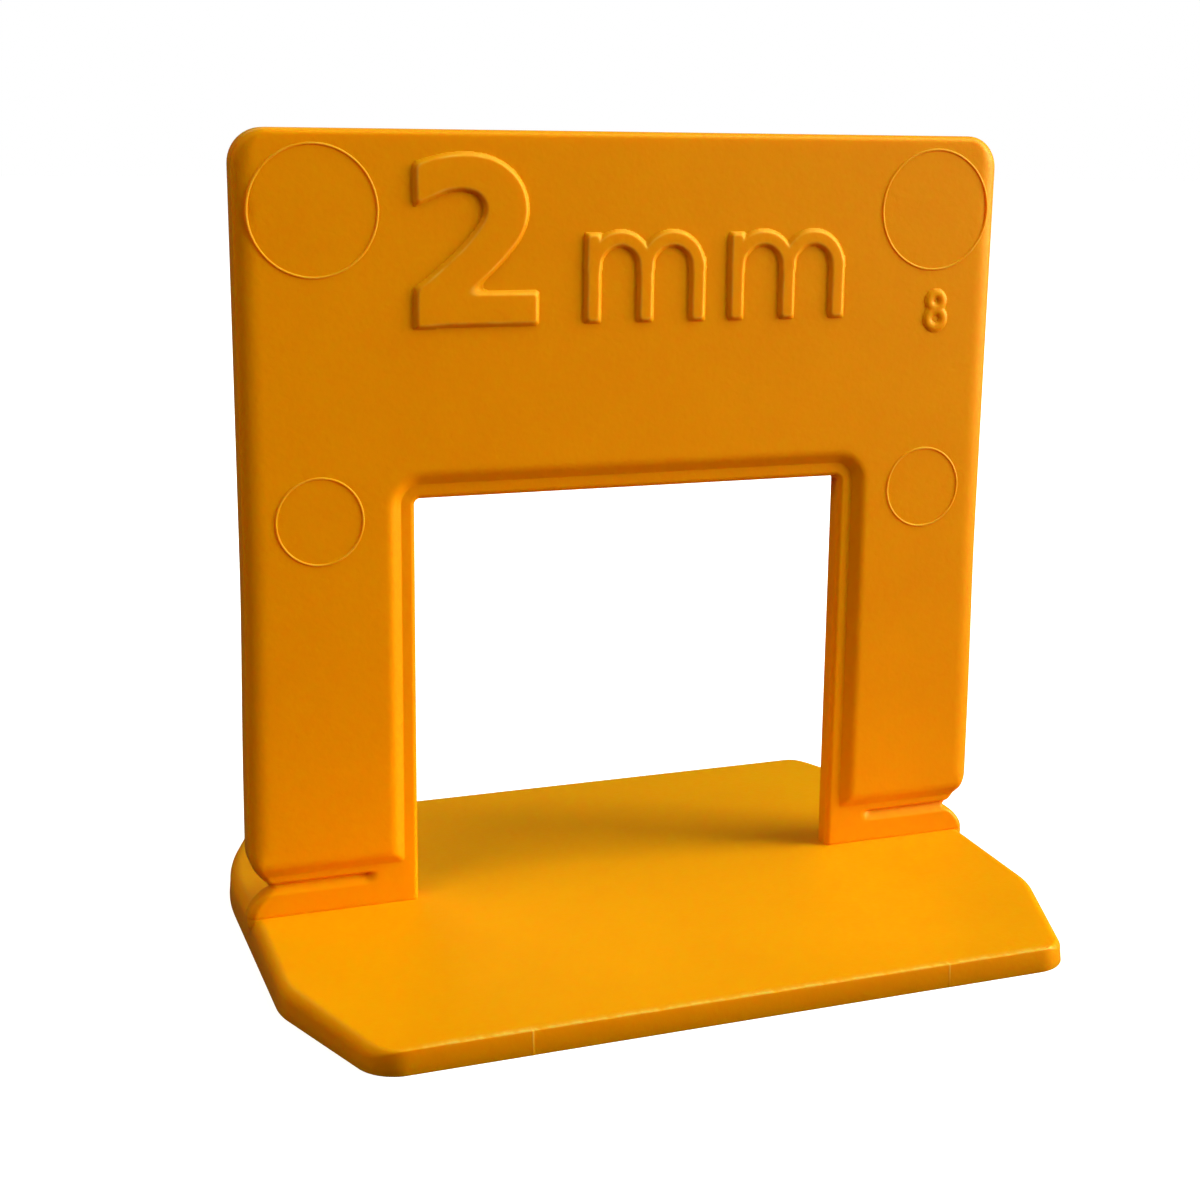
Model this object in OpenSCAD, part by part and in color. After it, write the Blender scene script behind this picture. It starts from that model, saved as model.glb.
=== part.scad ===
// Tile levelling clip: a moulded base plate that slides under two tiles, and an upright as thick
// as the joint that stands between them. A wedge is pushed through the window until the tiles are
// level. A kick then snaps the upright off along the break line, and the base stays under the floor.
// The origin is on the floor under the middle of the base, X runs along the upright, +Z is up.

/* [Overall] */
// Width of the upright and of the base
clip_w = 41; // [36:0.5:48]
// Height of the top edge above the floor
clip_h = 41; // [38:0.5:52]
// Depth of the base from front to back
base_d = 31.2; // [26:0.2:40]

/* [Upright] */
// Thickness of the upright, which is the width of the tile joint
joint_t = 2; // [1.8:0.1:3]
// Radius of the two top corners, seen from the front
top_r = 1.7; // [1:0.1:4]
// Rounding of the outer edges of the upright
edge_r = 0.4; // [0.2:0.05:0.6]

/* [Wedge window] */
// Clear width of the window
window_w = 23.6; // [18:0.2:26]
// Height of the window's top above the floor
window_top = 22.95; // [18:0.05:26]
// Thickness of the thin rim around the window and of the feet
web_t = 1.2; // [1:0.05:1.5]
// Width of the slope from the thick panel down to the thin rim
slope_w = 0.9; // [0.5:0.05:1.2]
// Radius of the window's top corners
window_r = 0.3; // [0.2:0.05:1]
// Radius of the soft edge between the panel's face and the slope
soft_r = 1; // [0.4:0.1:1.1]
// Width of the band beside the slope in which that edge is rounded
soft_w = 0.25; // [0.25:0.05:0.5]

/* [Break line] */
// Height of the break line above the floor
break_z = 3.4; // [3.2:0.05:4.5]
// Width of the groove that weakens the leg
groove_w = 0.6; // [0.3:0.05:0.7]
// Depth of the groove in each face
groove_d = 0.28; // [0.1:0.02:0.32]
// Length of each leg that the groove leaves whole, beside the window
groove_stop = 1.9; // [1:0.1:4]
// Height of the thick panel's lower edge above the break line
panel_gap = 1.5; // [1.3:0.1:2.5]
// Depth of the notch in the outer side of each leg
notch_d = 1.15; // [0.6:0.05:2]
// Opening of the notch at its round bottom
notch_h = 0.3; // [0.2:0.05:0.5]
// Rounding of the leg's lower corner above the notch
leg_r = 2.2; // [1.2:0.1:3]
// Inset of the foot's outer side from the side of the leg
foot_in = 0.1; // [0.1:0.05:0.5]
// Rounding of the foot's upper corner below the notch
foot_r = 1; // [0.6:0.05:1.1]

/* [Base] */
// Thickness of the base along the upright
root_t = 1.8; // [1.6:0.05:2.2]
// Thickness of the base at its front and back edges
rim_t = 1.2; // [1:0.05:1.5]
// Length of each corner chamfer along the front and back edges
chamfer_x = 2.9; // [1:0.1:8]
// Length of each corner chamfer along the sides
chamfer_y = 7.7; // [2:0.1:10]
// Radius of the base's corners, seen from above
base_r = 2; // [0.8:0.1:3]
// Rounding of the base's upper edges
base_edge_r = 0.3; // [0.1:0.05:0.4]

/* [Hidden] */
$fn = 96;
// Overlap that lets cutting shapes run clear of the faces they cut
clear = 1;
// How far the round corners beside the notch would stand out past the leg's side
notch_lean = 0.05;
// Number of flats that make the soft edge between the panel's face and the slope
soft_flats = 4;
// Number of flats in a full turn of the base's round corners and edges
base_fn = 32;
half_w = clip_w / 2;
half_d = base_d / 2;
half_t = joint_t / 2;
half_web = web_t / 2;
foot_w = half_w - foot_in;
// Line where the slope ends and the rim's full-round edge starts
rim_x = window_w / 2 + half_web;
rim_z = window_top + half_web;
rim_corner_r = window_r + half_web;
// Line where the panel's soft edge starts
panel_x = rim_x + slope_w + soft_w;
panel_z = rim_z + slope_w + soft_w;
panel_corner_r = rim_corner_r + slope_w + soft_w;
leg_z = break_z + panel_gap + soft_w;
leg_corner_r = edge_r;
// Lowest point of the upright's solids, inside the base
root_z = rim_t / 2;

function unit(v) = v / norm(v);
function left_of(v) = [-v[1], v[0]];
function way_in(p, i) = unit(p[i] - p[(i + len(p) - 1) % len(p)]);
function way_out(p, i) = unit(p[(i + 1) % len(p)] - p[i]);
function heading(v) = atan2(v[1], v[0]);
// Angle by which the outline turns at a corner, positive to the left
function turn(p, i) = let (a = way_in(p, i), b = way_out(p, i)) atan2(left_of(a) * b, a * b);
// Distance from a corner to the point where its arc starts
function reach(p, r, i) = abs(r[i] * tan(turn(p, i) / 2));
function arc_start(p, r, i) = p[i] - way_in(p, i) * reach(p, r, i);
function arc_end(p, r, i) = p[i] + way_out(p, i) * reach(p, r, i);
function arc_centre(p, r, i) = arc_start(p, r, i) + left_of(way_in(p, i)) * r[i] * sign(turn(p, i));

// Part of a corner's circle that lies beyond the chord of its arc
module corner_cap(p, r, i) {
    chord = arc_end(p, r, i) - arc_start(p, r, i);
    side = turn(p, i) > 0 ? -r[i] : 0;
    intersection() {
        translate(arc_centre(p, r, i)) circle(r[i]);
        translate(arc_start(p, r, i)) rotate(heading(chord))
            translate([-r[i], side]) square([norm(chord) + 2 * r[i], r[i]]);
    }
}

// Outline through the points p, going round to the left, with the corner radii r
module rounded(p, r) {
    last = len(p) - 1;
    difference() {
        union() {
            polygon([for (i = [0 : last]) each r[i] > 0 ? [arc_start(p, r, i), arc_end(p, r, i)] : [p[i]]]);
            for (i = [0 : last]) if (r[i] > 0 && turn(p, i) > 0) corner_cap(p, r, i);
        }
        for (i = [0 : last]) if (r[i] > 0 && turn(p, i) < 0) corner_cap(p, r, i);
    }
}

// Section drawn by children, with x to the left of the path and y up, carried along the open path p
module carry(p, r) {
    last = len(p) - 1;
    for (i = [0 : last - 1]) {
        from = i == 0 ? p[0] : arc_end(p, r, i);
        to = i == last - 1 ? p[last] : arc_start(p, r, i + 1);
        translate(from) rotate(heading(to - from))
            rotate([90, 0, 90]) linear_extrude(norm(to - from)) children();
    }
    for (i = [1 : last - 1]) {
        angle = turn(p, i);
        start = heading(way_in(p, i)) - 90 * sign(angle);
        translate(arc_centre(p, r, i)) rotate(angle > 0 ? start : start + angle)
            rotate_extrude(angle = abs(angle)) translate([r[i], 0]) mirror([angle > 0 ? 1 : 0, 0]) children();
    }
}

// Outer edge of the upright, rounded on both faces
module edge_section() {
    rounded([[0, -half_t], [edge_r, -half_t], [edge_r, half_t], [0, half_t]], [edge_r, 0, 0, edge_r]);
}

// Slope from the thick panel to the thin rim, with a soft edge of narrow flats at the panel
module slope_section() {
    fall = atan((half_t - half_web) / slope_w);
    arc_x = soft_r * tan(fall / 2) - soft_w;
    soft = [for (i = [0 : soft_flats]) [arc_x, half_t - soft_r]
        + soft_r * [-sin(fall * i / soft_flats), cos(fall * i / soft_flats)]];
    front = concat([[0, half_t]], soft, [[-slope_w - soft_w, half_web]]);
    back = [for (i = [len(front) - 1 : -1 : 0]) [front[i][0], -front[i][1]]];
    polygon(concat(front, back));
}

// Full-round edge of the rim, towards the window
module nose_section() {
    intersection() {
        circle(half_web);
        translate([-web_t, -web_t]) square([web_t, 2 * web_t]);
    }
}

// Thick panel that spaces the tiles: the head and both legs, down to the break line's slopes
module panel() {
    core_x = half_w - edge_r;
    core_z = clip_h - edge_r;
    core_r = top_r - edge_r;
    core = [[core_x, leg_z], [core_x, core_z], [-core_x, core_z], [-core_x, leg_z],
        [-panel_x, leg_z], [-panel_x, panel_z], [panel_x, panel_z], [panel_x, leg_z]];
    core_radii = [0, core_r, core_r, 0, leg_corner_r, panel_corner_r, panel_corner_r, leg_corner_r];
    outer = [[half_w, leg_z], [half_w, clip_h], [-half_w, clip_h], [-half_w, leg_z]];
    inner = [[-half_w, leg_z], [-panel_x, leg_z], [-panel_x, panel_z],
        [panel_x, panel_z], [panel_x, leg_z], [half_w, leg_z]];
    translate([0, 0, -half_t]) linear_extrude(joint_t) rounded(core, core_radii);
    carry(outer, [0, top_r, top_r, 0]) edge_section();
    carry(inner, [0, leg_corner_r, panel_corner_r, panel_corner_r, leg_corner_r, 0]) slope_section();
}

// Thin rim around the window, and the grooved feet that join the legs to the base
module web() {
    edge = [[-rim_x, root_z], [-rim_x, rim_z], [rim_x, rim_z], [rim_x, root_z]];
    foot_top = leg_z - soft_w - slope_w;
    foot = [[rim_x, root_z], [foot_w, root_z], [foot_w, foot_top], [half_w - clear, foot_top],
        [half_w - clear, leg_z + clear], [rim_x, leg_z + clear]];
    difference() {
        union() {
            carry(edge, [0, rim_corner_r, rim_corner_r, 0]) nose_section();
            for (side = [0, 1]) mirror([side, 0, 0])
                translate([0, 0, -half_web]) linear_extrude(web_t) polygon(foot);
        }
        for (side = [0, 1], face = [0, 1]) mirror([side, 0, 0]) mirror([0, 0, face]) groove();
    }
}

// Notch in the outer side of a leg, which starts the break between two round corners
module notch() {
    tip_x = half_w - notch_d;
    leg_x = half_w - leg_r + notch_lean;
    foot_x = foot_w - foot_r + notch_lean;
    leg_y = break_z + notch_h / 2 + sqrt(pow(leg_r, 2) - pow(tip_x - leg_x, 2));
    foot_y = break_z - notch_h / 2 - sqrt(pow(foot_r, 2) - pow(tip_x - foot_x, 2));
    translate([0, 0, -joint_t]) linear_extrude(2 * joint_t) {
        difference() {
            translate([tip_x, foot_y]) square([notch_d + clear, leg_y - foot_y]);
            translate([leg_x, leg_y]) circle(leg_r);
            translate([foot_x, foot_y]) circle(foot_r);
        }
        translate([tip_x, break_z]) circle(notch_h / 2);
    }
}

// Groove along the break line in one face of a leg, with a sloping inner end
module groove() {
    flare = groove_w / 2 / groove_d;
    bottom = half_web - groove_d;
    top = half_web + clear;
    spread = flare * (top - bottom);
    end_x = rim_x + groove_stop;
    out_x = half_w + clear;
    intersection() {
        translate([0, break_z, 0]) rotate([90, 0, 90]) linear_extrude(out_x)
            polygon([[0, bottom], [spread, top], [-spread, top]]);
        translate([0, break_z + 2 * spread, 0]) rotate([90, 0, 0]) linear_extrude(4 * spread)
            polygon([[end_x + flare * clear, bottom - clear], [out_x + clear, bottom - clear],
                [out_x + clear, top], [end_x - spread, top]]);
    }
}

// Upright, drawn flat with its front face up and then raised
module upright() {
    rotate([90, 0, 0]) difference() {
        union() {
            panel();
            web();
        }
        for (side = [0, 1]) mirror([side, 0, 0]) notch();
    }
}

// Disc with a soft upper edge, which shapes one corner of the base
module corner_disc(height) {
    rotate_extrude() rounded([[0, 0], [base_r, 0], [base_r, height], [0, height]], [0, 0, base_edge_r, 0]);
}

// Base, thickest in a band along the upright, from which its top falls to the front and back edges
module base() {
    $fn = base_fn;
    side_y = half_d - chamfer_y;
    front_x = half_w - chamfer_x;
    band = [[-half_w, 0], [half_w, 0], [half_w, root_t], [-half_w, root_t]];
    plan = [[half_w, -side_y], [half_w, side_y], [front_x, half_d], [-front_x, half_d],
        [-half_w, side_y], [-half_w, -side_y], [-front_x, -half_d], [front_x, -half_d]];
    radii = [for (corner = plan) base_r];
    flat_r = base_r - base_edge_r;
    fall = (root_t - rim_t) / (half_d - base_edge_r - half_t);
    hull() {
        rotate([90, 0, 0]) translate([0, 0, -half_t]) linear_extrude(joint_t)
            rounded(band, [0, 0, base_edge_r, base_edge_r]);
        for (i = [0 : len(plan) - 1]) {
            centre = arc_centre(plan, radii, i);
            translate(centre) corner_disc(root_t - fall * (abs(centre[1]) + flat_r - half_t));
        }
    }
}

// Whole clip, moulded in one piece
module levelling_clip() {
    color("orange") union() {
        base();
        upright();
    }
}

levelling_clip();
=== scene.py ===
"""Studio scene of a tile levelling clip, moulded in one piece from orange polypropylene."""

import logging
import math
from collections.abc import Callable
from dataclasses import dataclass, field
from enum import Enum

import bmesh
import bpy
import numpy as np
from mathutils import Matrix, Vector


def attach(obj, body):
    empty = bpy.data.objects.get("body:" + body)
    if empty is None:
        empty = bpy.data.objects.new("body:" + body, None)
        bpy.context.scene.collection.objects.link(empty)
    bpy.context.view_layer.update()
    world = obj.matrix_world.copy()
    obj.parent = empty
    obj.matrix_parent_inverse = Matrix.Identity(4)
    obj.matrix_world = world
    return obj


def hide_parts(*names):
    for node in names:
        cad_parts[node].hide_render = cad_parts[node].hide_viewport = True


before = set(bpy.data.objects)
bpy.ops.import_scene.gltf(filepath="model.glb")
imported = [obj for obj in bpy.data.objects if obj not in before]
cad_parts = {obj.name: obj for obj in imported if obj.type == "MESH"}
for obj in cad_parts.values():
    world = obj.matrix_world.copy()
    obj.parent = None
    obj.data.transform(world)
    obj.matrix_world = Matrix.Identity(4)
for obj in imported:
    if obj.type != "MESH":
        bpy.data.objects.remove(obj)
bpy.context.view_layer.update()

MM = 0.001  # metres in a millimetre
FAR = 9.0  # millimetres, past the reach of every slope and stroke
SQUARE = 0.99  # share of a direction along an axis past which it counts as square
MERGE = 1e-8  # metres, within which points are the same
MIX_A, MIX_B, MIX_COLOUR = 6, 7, 2  # colour sockets of a Mix node: two inputs and the output
NODE = "levelling_clip"
BODY = "root"
Box = tuple[float, float, float, float]
Depth = Callable[[np.ndarray, np.ndarray], np.ndarray]  # of x and z, positive inside a figure
log = logging.getLogger("levelling_clip")


class Side(Enum):
    """The two sides of the clip as its marked face is seen, as the sign of their X."""

    LEFT = -1
    RIGHT = 1


@dataclass
class Shell:
    """A surface as plain arrays, in millimetres.

    Args:
        points: vertex positions, one row each.
        faces: vertex numbers of each face, as a list of sequences.
    """

    points: np.ndarray
    faces: list


# Formulas


def soft_positive(x: np.ndarray, radius: float) -> np.ndarray:
    """Zero below 0 and x above it, joined by a parabola over radius on both sides.

    Args:
        x: values.
        radius: half width of the rounded bend.

    Returns:
        The values after the bend.
    """
    bend = (np.clip(x, -radius, radius) + radius) ** 2 / (4 * radius)
    return np.where(x > radius, x, bend)


def ramp(x: np.ndarray, width: float, low: float, high: float) -> np.ndarray:
    """Straight climb from 0 to 1 over width, with its foot and its brow rounded.

    Args:
        x: distance from the foot.
        width: length of the climb.
        low: half width of the bend at the foot.
        high: half width of the bend at the brow.

    Returns:
        Height from 0 to 1.
    """
    return (soft_positive(x, low) - soft_positive(x - width, high)) / width


def past(x: np.ndarray, start: float, width: float, bend: float) -> np.ndarray:
    """Ramp from 0 at start to 1 past the width, with the same bend at both its ends."""
    return ramp(x - start, width, bend, bend)


def bell(x: np.ndarray, width: float) -> np.ndarray:
    """Bell curve: e to the power of minus the square of x over width."""
    return np.exp(-((x / width) ** 2))


def soft_min(a: np.ndarray, b: np.ndarray, width: float) -> np.ndarray:
    """Lower of two values, with a parabola where they are within width of each other.

    Args:
        a: first values.
        b: second values.
        width: reach of the blend.

    Returns:
        The blended lower value.
    """
    share = np.clip(0.5 + 0.5 * (b - a) / width, 0, 1)
    return b + (a - b) * share - width * share * (1 - share)


def soft_max(a: np.ndarray, b: np.ndarray, width: float) -> np.ndarray:
    """Higher of two values, blended in the same way as the lower."""
    return -soft_min(-a, -b, width)


def edge_drop(d: np.ndarray, radius: float) -> np.ndarray:
    """How far a quarter-round edge lies under its face, at the distance d from the outline.

    Args:
        d: distance in from the outline.
        radius: radius of the edge.

    Returns:
        Depth under the face.
    """
    left = np.clip(radius - d, 0, radius)
    return radius - np.sqrt(radius**2 - left**2)


def smooth_path(points: np.ndarray, steps: int) -> np.ndarray:
    """Catmull-Rom curve: each span is the cubic with the slopes of its neighbours.

    Args:
        points: the rows that the curve goes through, of any number of columns.
        steps: points drawn in each span.

    Returns:
        Rows along the curve.
    """
    ends = np.vstack([2 * points[0] - points[1], points, 2 * points[-1] - points[-2]])
    a, b, c, d = (v[:, None, :] for v in (ends[:-3], ends[1:-2], ends[2:-1], ends[3:]))
    t = np.linspace(0, 1, steps, endpoint=False)[None, :, None]
    bent = 2 * a - 5 * b + 4 * c - d + t * (3 * (b - c) + d - a)
    curve = b + 0.5 * t * (c - a + t * bent)
    return np.vstack([curve.reshape(-1, points.shape[1]), points[-1:]])


def stroke_depth(u: np.ndarray, v: np.ndarray, path: np.ndarray) -> np.ndarray:
    """Signed depth inside a stroke: its half width less the distance to its middle line.

    Args:
        u: first coordinate of the places asked about.
        v: second coordinate.
        path: rows of u, v and half width along the middle line.

    Returns:
        Depth, positive inside the stroke.
    """
    a, b = path[:-1], path[1:]
    run = b[:, :2] - a[:, :2]
    du, dv = u[..., None] - a[:, 0], v[..., None] - a[:, 1]
    t = np.clip((du * run[:, 0] + dv * run[:, 1]) / (run**2).sum(1), 0, 1)
    gap = np.hypot(du - t * run[:, 0], dv - t * run[:, 1])
    return (a[:, 2] + t * (b[:, 2] - a[:, 2]) - gap).max(-1)


def box_depth(u: np.ndarray, v: np.ndarray, box: Box, corner: float) -> np.ndarray:
    """Signed depth inside a rectangle: the least distance to a side, blended at the corners.

    Args:
        u: first coordinate of the places asked about.
        v: second coordinate.
        box: low u, low v, high u and high v.
        corner: reach of the blend.

    Returns:
        Depth, positive inside.
    """
    low_u, low_v, high_u, high_v = box
    return soft_min(np.minimum(u - low_u, high_u - u), np.minimum(v - low_v, high_v - v), corner)


# Meshes


def grid_faces(rows: int, cols: int, wrap: bool = False) -> np.ndarray:
    """Four-cornered faces of a grid of points that is stored row by row.

    Args:
        rows: number of rows of points.
        cols: number of points in a row.
        wrap: whether the last point of a row joins the first.

    Returns:
        Vertex numbers, one face a row.
    """
    spans = cols if wrap else cols - 1
    r, c = np.meshgrid(np.arange(rows - 1), np.arange(spans), indexing="ij")
    n = (c + 1) % cols
    corners = [r * cols + c, r * cols + n, (r + 1) * cols + n, (r + 1) * cols + c]
    return np.stack(corners, -1).reshape(-1, 4)


def make_object(name: str, shell: Shell) -> bpy.types.Object:
    """Puts a shell into a mesh object at the origin, with doubles merged and faces outwards.

    Args:
        name: name of the object.
        shell: the surface, in millimetres.

    Returns:
        The new object.
    """
    mesh = bpy.data.meshes.new(name)
    faces = [list(map(int, f)) for f in shell.faces]
    mesh.from_pydata((shell.points * MM).tolist(), [], faces)
    work = bmesh.new()
    work.from_mesh(mesh)
    bmesh.ops.remove_doubles(work, verts=work.verts, dist=MERGE)
    bmesh.ops.recalc_face_normals(work, faces=work.faces)
    work.to_mesh(mesh)
    work.free()
    obj = bpy.data.objects.new(name, mesh)
    bpy.context.scene.collection.objects.link(obj)
    return obj


def unite(body: bpy.types.Object, parts: list[bpy.types.Object]) -> None:
    """Melts parts into body, so that the moulding is one closed skin, and removes the parts.

    Args:
        body: the object that takes the others in.
        parts: closed objects that overlap it.
    """
    for part in parts:
        joint = body.modifiers.new(part.name, "BOOLEAN")
        joint.operation = "UNION"
        joint.solver = "MANIFOLD"
        joint.object = part
    depsgraph = bpy.context.evaluated_depsgraph_get()
    skin = bpy.data.meshes.new_from_object(body.evaluated_get(depsgraph))
    body.modifiers.clear()
    old, body.data = body.data, skin
    bpy.data.meshes.remove(old)
    for part in parts:
        bpy.data.objects.remove(part)


# The clip


@dataclass
class Upright:
    """The panel as thick as the joint, with its window, its legs and the weakened feet.

    Sizes are in millimetres. The fields named rows and steps set how close the mesh is.
    """

    half_w: float = 20.5
    height: float = 41.0
    half_t: float = 1.0
    top_r: float = 1.7
    edge_r: float = 0.46
    edge_in: float = 1.05
    top_edge_in: float = 0.32
    foot_edge_r: float = 0.42
    edge_z: float = 4.3
    edge_grow: float = 1.3
    edge_bend: float = 0.3
    edge_share: float = 0.9
    window_half: float = 11.8
    window_top: float = 22.95
    window_r: float = 0.3
    half_web: float = 0.6
    rim_r: float = 0.3
    rim_w: float = 0.75
    slope_w: float = 0.62
    slope_brow: float = 0.26
    slope_foot: float = 0.03
    slope_blend: float = 0.3
    leg_slope_z: float = 4.0
    waist: float = 0.15
    waist_z: float = 19.5
    waist_reach: float = 7.5
    flare: float = 0.08
    leg_corner_z: float = 4.6
    leg_lean: float = 0.88
    leg_bend: float = 0.85
    foot_w: float = 20.68
    foot_curve_z: float = 1.72
    foot_bow: float = 0.5
    notch_r: float = 0.2
    foot_tuck: float = 0.5
    tuck_below: float = 0.4
    tuck_bend: float = 0.15
    groove_z: float = 3.47
    groove_d: float = 0.29
    groove_up: float = 0.2
    groove_down: float = 0.48
    groove_bend: float = 0.12
    groove_end: float = 14.15
    groove_taper: float = 0.3
    taper_bend: float = 0.08
    base_top: float = 1.8
    seat_d: float = 0.035
    seat_w: float = 0.06
    flat_run: float = 0.1
    row_gap: float = 0.01
    seat_rows: tuple = (
        -1.2, -0.7, -0.5, -0.35, -0.2, -0.08, 0, 0.02, 0.04, 0.06, 0.12, 0.2, 0.3, 0.4)
    fine_rows: tuple = (2.3, 5.6, 0.05)
    plain_rows: tuple = (5.75, 20.0, 14)
    climb_rows: int = 8
    arc_rows: int = 12
    run_rows: int = 12
    wall_steps: tuple = (0.0, 0.5, 1.0)
    edge_steps: int = 8
    crease_steps: int = 5
    slope_steps: int = 18
    face_steps: int = 28

    def side_x(self, z: np.ndarray) -> np.ndarray:
        """Half width of a leg at the height z.

        The leg has a faint waist and a corner cut off by a soft bend, the foot below bows out
        as a parabola, and the two meet in a notch. Inside the base the foot draws in.

        Args:
            z: heights.

        Returns:
            Half widths.
        """
        waist = self.waist * bell(z - self.waist_z, self.waist_reach)
        cut = self.leg_lean * soft_positive(self.leg_corner_z - z, self.leg_bend)
        leg = self.half_w + self.flare - waist - cut
        foot = self.foot_w - self.foot_bow * np.clip(z - self.foot_curve_z, 0, None) ** 2
        sunk = self.base_top - self.tuck_below - z
        foot = foot - self.foot_tuck * soft_positive(sunk, self.tuck_bend)
        return soft_max(leg, foot, self.notch_r)

    def groove(self, x: np.ndarray, z: np.ndarray) -> np.ndarray:
        """Depth of the break groove: a lopsided V along z, which fades out towards the window.

        Args:
            x: distances from the middle.
            z: heights.

        Returns:
            Depth under the face.
        """
        off = z - self.groove_z
        wall = np.where(off > 0, off / self.groove_up, -off / self.groove_down)
        depth = soft_positive(1 - wall, self.groove_bend)
        faded = past(np.abs(x), self.groove_end, self.groove_taper, self.taper_bend)
        return self.groove_d * depth * faded

    def half_thickness(self, x: np.ndarray, z: np.ndarray, d_in: np.ndarray) -> np.ndarray:
        """Half thickness of the moulding away from its edges.

        The lower of two soft slopes, one along the window and one above the break line, lifts
        the web to the panel. The groove is taken off, and so is a fine line round the foot
        where it meets the base.

        Args:
            x: places along the upright.
            z: heights.
            d_in: distances from the window's edge.

        Returns:
            Half thicknesses.
        """
        window = ramp(d_in - self.rim_w, self.slope_w, self.slope_foot, self.slope_brow)
        leg = ramp(z - self.leg_slope_z, self.slope_w, self.slope_foot, self.slope_brow)
        climb = np.maximum(soft_min(window, leg, self.slope_blend), 0)
        seat = self.seat_d * bell(z - self.base_top, self.seat_w)
        lift = (self.half_t - self.half_web) * climb
        return self.half_web + lift - self.groove(x, z) - seat

    def leg_heights(self) -> np.ndarray:
        """Heights of the rows of a leg, close together at the notch, the groove and the slope."""
        seat = self.base_top + np.array(self.seat_rows)
        return np.concatenate([seat, np.arange(*self.fine_rows), np.linspace(*self.plain_rows)])

    def rows(self) -> tuple[np.ndarray, np.ndarray, np.ndarray]:
        """Ends of the rows of the left half, from its foot round to the middle of the head.

        Returns:
            Outer points, inner points and the directions outwards from the window.
        """
        z = self.leg_heights()
        legs = np.stack([-self.side_x(z), z], 1)
        rims = np.stack([np.full_like(z, -self.window_half), z], 1)
        up = np.linspace(0, 1, self.climb_rows + 1)[1:, None]
        turn = math.pi - np.linspace(0, math.pi / 2, self.arc_rows + 1)[1:]
        ray = np.stack([np.cos(turn), np.sin(turn)], 1)
        along = np.linspace(0, 1, self.run_rows + 1)[1:, None]

        def round_trip(first: np.ndarray, half: float, top: float, r: float) -> np.ndarray:
            """Joins the leg, the climb to the corner, its arc and the run to the middle."""
            corner = np.array([r - half, top - r])
            climb = first[-1] + (np.array([-half, top - r]) - first[-1]) * up
            arc = corner + r * ray
            run = arc[-1] + (np.array([0.0, top]) - arc[-1]) * along
            return np.vstack([first, climb, arc, run])

        outer = round_trip(legs, self.half_w, self.height, self.top_r)
        inner = round_trip(rims, self.window_half, self.window_top, self.window_r)
        sideways = np.tile([-1.0, 0.0], (len(z) + len(up), 1))
        upwards = np.tile([0.0, 1.0], (len(along), 1))
        return outer, inner, np.vstack([sideways, ray, upwards])

    def edges(self, outer: np.ndarray, way: np.ndarray) -> tuple[np.ndarray, np.ndarray]:
        """Depth and reach of the rounded outer edge in each row.

        The foot has a plain quarter round. Above it the round is drawn out into the face, far
        at the sides and little along the top.

        Args:
            outer: outer ends of the rows.
            way: directions outwards from the window.

        Returns:
            Depths under the face and reaches in from the outline, one row each.
        """
        z = outer[:, 1]
        grown = past(z, self.edge_z, self.edge_grow, self.edge_bend)
        depth = self.foot_edge_r + (self.edge_r - self.foot_edge_r) * grown
        room = self.half_thickness(outer[:, 0], z, np.full_like(z, FAR))
        depth = np.minimum(depth, self.edge_share * room)[:, None]
        aside = way[:, :1] ** 2 * grown[:, None]
        reach = self.top_edge_in + (self.edge_in - self.top_edge_in) * aside
        return depth, np.where(z[:, None] < self.edge_z, depth, reach)

    def inner_stations(self) -> np.ndarray:
        """Distances from the window's edge of a row's points on the slope and the rim."""
        brow = self.rim_w + self.slope_w + self.slope_brow
        climb = np.linspace(0, math.pi / 2, self.slope_steps)
        slope = self.rim_w + (brow - self.rim_w) * (1 - np.sin(climb))
        crease = self.rim_w + self.slope_foot * np.linspace(1, -1, self.crease_steps)
        slope = slope[slope > crease[0] + self.row_gap]
        nose = self.rim_r * (1 - np.sin(np.linspace(0, math.pi / 2, self.edge_steps + 1)))
        return np.concatenate([[brow + self.flat_run], slope, crease, nose, [0, 0]])

    def build(self) -> Shell:
        """Carries the closed section of the moulding from the left foot round to the right.

        Each row crosses the moulding from its outer side to the window. Its stations are the
        side wall, the rounded edge, the face, the soft slope and the rim with its round edge,
        and the back repeats the front.

        Returns:
            The closed shell.
        """
        outer, inner, way = self.rows()
        edge, inward = self.edges(outer, way)
        turn = np.linspace(0, math.pi / 2, self.edge_steps + 1)[1:]
        wall = np.array(self.wall_steps)
        d_wall = np.zeros((len(outer), len(wall)))
        d_out = np.hstack([d_wall, inward * (1 - np.cos(turn)), inward + self.flat_run])
        d_in = self.inner_stations()

        p_out = outer[:, None, :] - way[:, None, :] * d_out[:, :, None]
        p_in = inner[:, None, :] + way[:, None, :] * d_in[None, :, None]
        share = np.linspace(0, 1, self.face_steps + 2)[1:-1, None]
        p_mid = p_out[:, -1:, :] + (p_in[:, :1, :] - p_out[:, -1:, :]) * share
        plan = np.concatenate([p_out, p_mid, p_in], 1)
        far = np.full((len(outer), d_out.shape[1] + len(share)), FAR)
        from_window = np.hstack([far, np.tile(d_in, (len(outer), 1))])

        t = self.half_thickness(plan[..., 0], plan[..., 1], from_window)
        t[:, :len(wall)] = (t[:, :1] - edge) * wall
        t[:, len(wall):len(wall) + len(turn)] -= edge * (1 - np.sin(turn))
        t[:, -len(d_in):] -= edge_drop(d_in, self.rim_r)
        # The last two stations lie on the wall of the window, half way and in the middle
        t[:, -2:] *= np.array([0.5, 0])

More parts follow.
